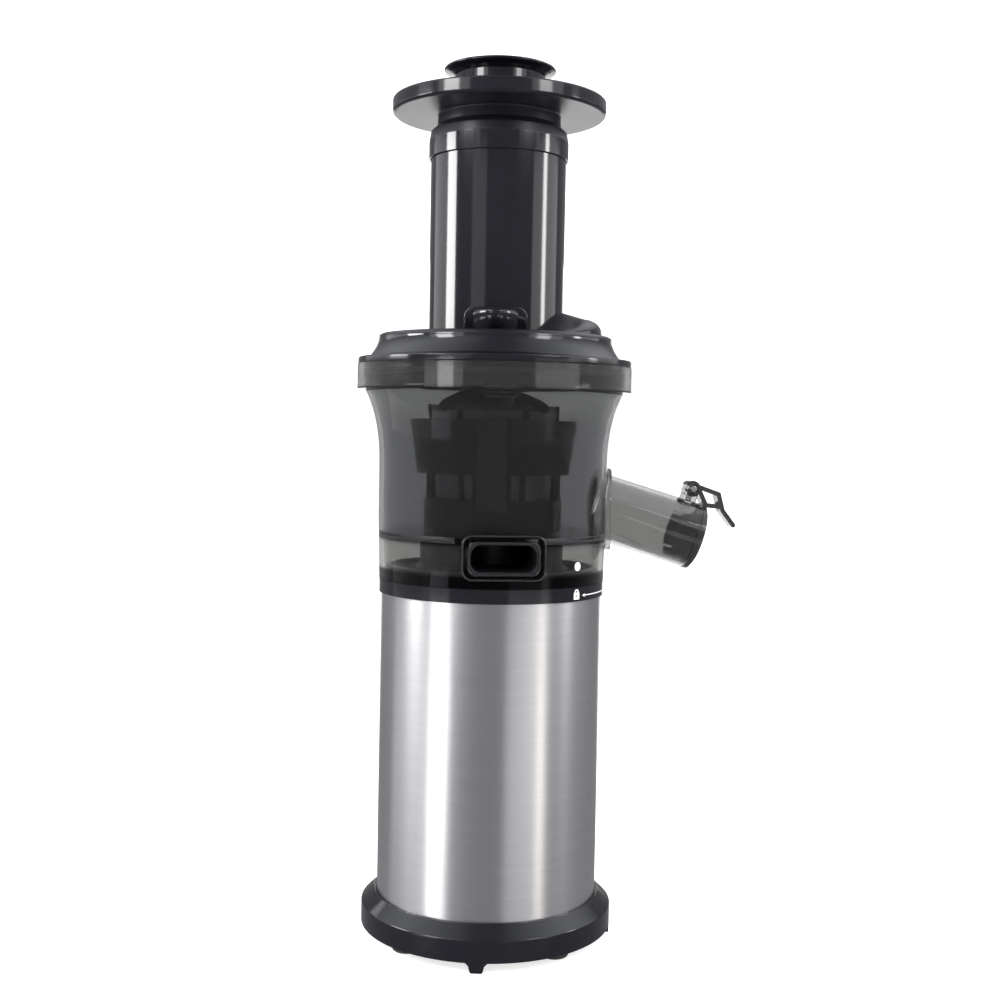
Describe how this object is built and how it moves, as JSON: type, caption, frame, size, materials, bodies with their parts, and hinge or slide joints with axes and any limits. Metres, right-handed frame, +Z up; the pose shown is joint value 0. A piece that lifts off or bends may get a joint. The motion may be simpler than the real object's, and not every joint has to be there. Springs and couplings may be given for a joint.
{
  "type": "cold press juicer",
  "caption": "Upright slow juicer: motor base in a steel sleeve, clear bowl with slanted spout and flip cap, pulp outlet, lid with feed tube, food tray and pusher.",
  "frame": {"origin": "point where the drive axis meets the surface the juicer stands on", "axes": "+Z up along the drive axis, +X towards the juice spout, -Y towards the pulp outlet"},
  "size_m": [0.1989, 0.142, 0.445],
  "materials": {
    "gloss_black": "gloss black plastic",
    "black_plastic": "satin black plastic",
    "smoke_clear": "clear plastic with a smoke-grey tint",
    "clear_plastic": "clear plastic",
    "stainless": "stainless steel brushed round the axis",
    "bright_steel": "bright steel",
    "zinc_metal": "cast or zinc-plated metal",
    "copper_windings": "copper",
    "bronze": "sintered bronze",
    "rubber": "black rubber",
    "silicone": "grey silicone",
    "white_resin": "natural white resin",
    "board": "green circuit board"
  },
  "bodies": {
    "base": {"base_pan": "gloss_black", "bottom_cover": "black_plastic", "cover_screws": "zinc_metal", "rubber_feet": "rubber", "inner_body": "black_plastic", "steel_sleeve": "stainless", "top_ring": "gloss_black", "deck_screws": "zinc_metal", "motor_can": "zinc_metal", "motor_end_cap": "black_plastic", "stator_magnets": "rubber", "carbon_brushes": "rubber", "motor_bearings": "bright_steel", "gearbox_damper": "rubber", "gearbox_housing": "white_resin", "gearbox_cover": "white_resin", "gearbox_screws": "zinc_metal", "output_bearing": "bright_steel", "shaft_seal": "rubber", "control_board": "board", "switch_housing": "black_plastic", "cord_gland": "rubber"},
    "rotor": {"rotor_core": "copper_windings", "commutator": "copper_windings", "motor_shaft": "bright_steel"},
    "carrier": {"drive_carrier": "bright_steel", "planet_pins": "bright_steel"},
    "planet_a": {"planet_gear_a": "white_resin"},
    "planet_b": {"planet_gear_b": "white_resin"},
    "planet_c": {"planet_gear_c": "white_resin"},
    "rocker": {"rocker_switch": "gloss_black"},
    "bowl": {"juice_bowl": "smoke_clear", "juice_spout": "clear_plastic", "pulp_chute": "black_plastic", "hub_gasket": "silicone", "idler_pin": "bright_steel", "strainer_frame": "black_plastic", "strainer_mesh": "bright_steel", "cap_pin": "bright_steel"},
    "idler": {"idler_gear": "white_resin"},
    "brush": {"brush_cage": "black_plastic", "wiper_blades": "silicone"},
    "auger": {"auger": "black_plastic"},
    "spout_cap": {"spout_cap": "smoke_clear", "cap_seal": "silicone"},
    "lid_ring": {"lid_gasket": "silicone"},
    "lid": {"lid": "gloss_black", "auger_bush": "bronze"},
    "tray": {"food_tray": "gloss_black"},
    "pusher": {"pusher": "gloss_black", "pusher_cap": "gloss_black"}
  },
  "joints": [
    {"name": "drive_spin", "type": "hinge", "parent": "base", "child": "carrier", "pos_m": [0, 0, 0.15], "axis": [0, 0, 1], "continuous": true},
    {"name": "rotor_spin", "type": "hinge", "parent": "base", "child": "rotor", "pos_m": [0, 0, 0.08], "axis": [0, 0, 1], "continuous": true},
    {"name": "planet_a_spin", "type": "hinge", "parent": "carrier", "child": "planet_a", "pos_m": [0.0225, 0, 0.137], "axis": [0, 0, 1], "continuous": true},
    {"name": "planet_b_spin", "type": "hinge", "parent": "carrier", "child": "planet_b", "pos_m": [-0.01125, 0.01949, 0.137], "axis": [0, 0, 1], "continuous": true},
    {"name": "planet_c_spin", "type": "hinge", "parent": "carrier", "child": "planet_c", "pos_m": [-0.01125, -0.01949, 0.137], "axis": [0, 0, 1], "continuous": true},
    {"name": "rocker_tip", "type": "hinge", "parent": "base", "child": "rocker", "pos_m": [0.00846, 0.05343, 0.062], "axis": [0.9877, -0.1564, 0], "range_deg": [-10, 10]},
    {"name": "bowl_lift", "type": "slide", "parent": "base", "child": "bowl", "axis": [0, 0, 1], "range_m": [0, 0.06]},
    {"name": "auger_spin", "type": "hinge", "parent": "bowl", "child": "auger", "pos_m": [0, 0, 0.25], "axis": [0, 0, 1], "continuous": true},
    {"name": "idler_spin", "type": "hinge", "parent": "bowl", "child": "idler", "pos_m": [0, 0.02, 0.214], "axis": [0, 0, 1], "continuous": true},
    {"name": "brush_spin", "type": "hinge", "parent": "bowl", "child": "brush", "pos_m": [0, 0, 0.24], "axis": [0, 0, 1], "continuous": true},
    {"name": "spout_cap_hinge", "type": "hinge", "parent": "bowl", "child": "spout_cap", "pos_m": [0.10468, 0, 0.23209], "axis": [0, -1, 0], "range_deg": [0, 110]},
    {"name": "lid_lift", "type": "slide", "parent": "bowl", "child": "lid_ring", "axis": [0, 0, 1], "range_m": [0, 0.06]},
    {"name": "lid_turn", "type": "hinge", "parent": "lid_ring", "child": "lid", "pos_m": [0, 0, 0.29], "axis": [0, 0, 1], "range_deg": [0, 30]},
    {"name": "tray_lift", "type": "slide", "parent": "lid", "child": "tray", "axis": [0, 0, 1], "range_m": [0, 0.04]},
    {"name": "pusher_slide", "type": "slide", "parent": "tray", "child": "pusher", "axis": [0, 0, 1], "range_m": [0, 0.13]}
  ],
  "couplings": [
    {"joint": "rotor_spin", "follows": "drive_spin", "ratio": 5},
    {"joint": "planet_a_spin", "follows": "drive_spin", "ratio": -2.6667},
    {"joint": "planet_b_spin", "follows": "drive_spin", "ratio": -2.6667},
    {"joint": "planet_c_spin", "follows": "drive_spin", "ratio": -2.6667},
    {"joint": "auger_spin", "follows": "drive_spin", "ratio": 1},
    {"joint": "idler_spin", "follows": "drive_spin", "ratio": -1.2857},
    {"joint": "brush_spin", "follows": "drive_spin", "ratio": -0.3913}
  ]
}
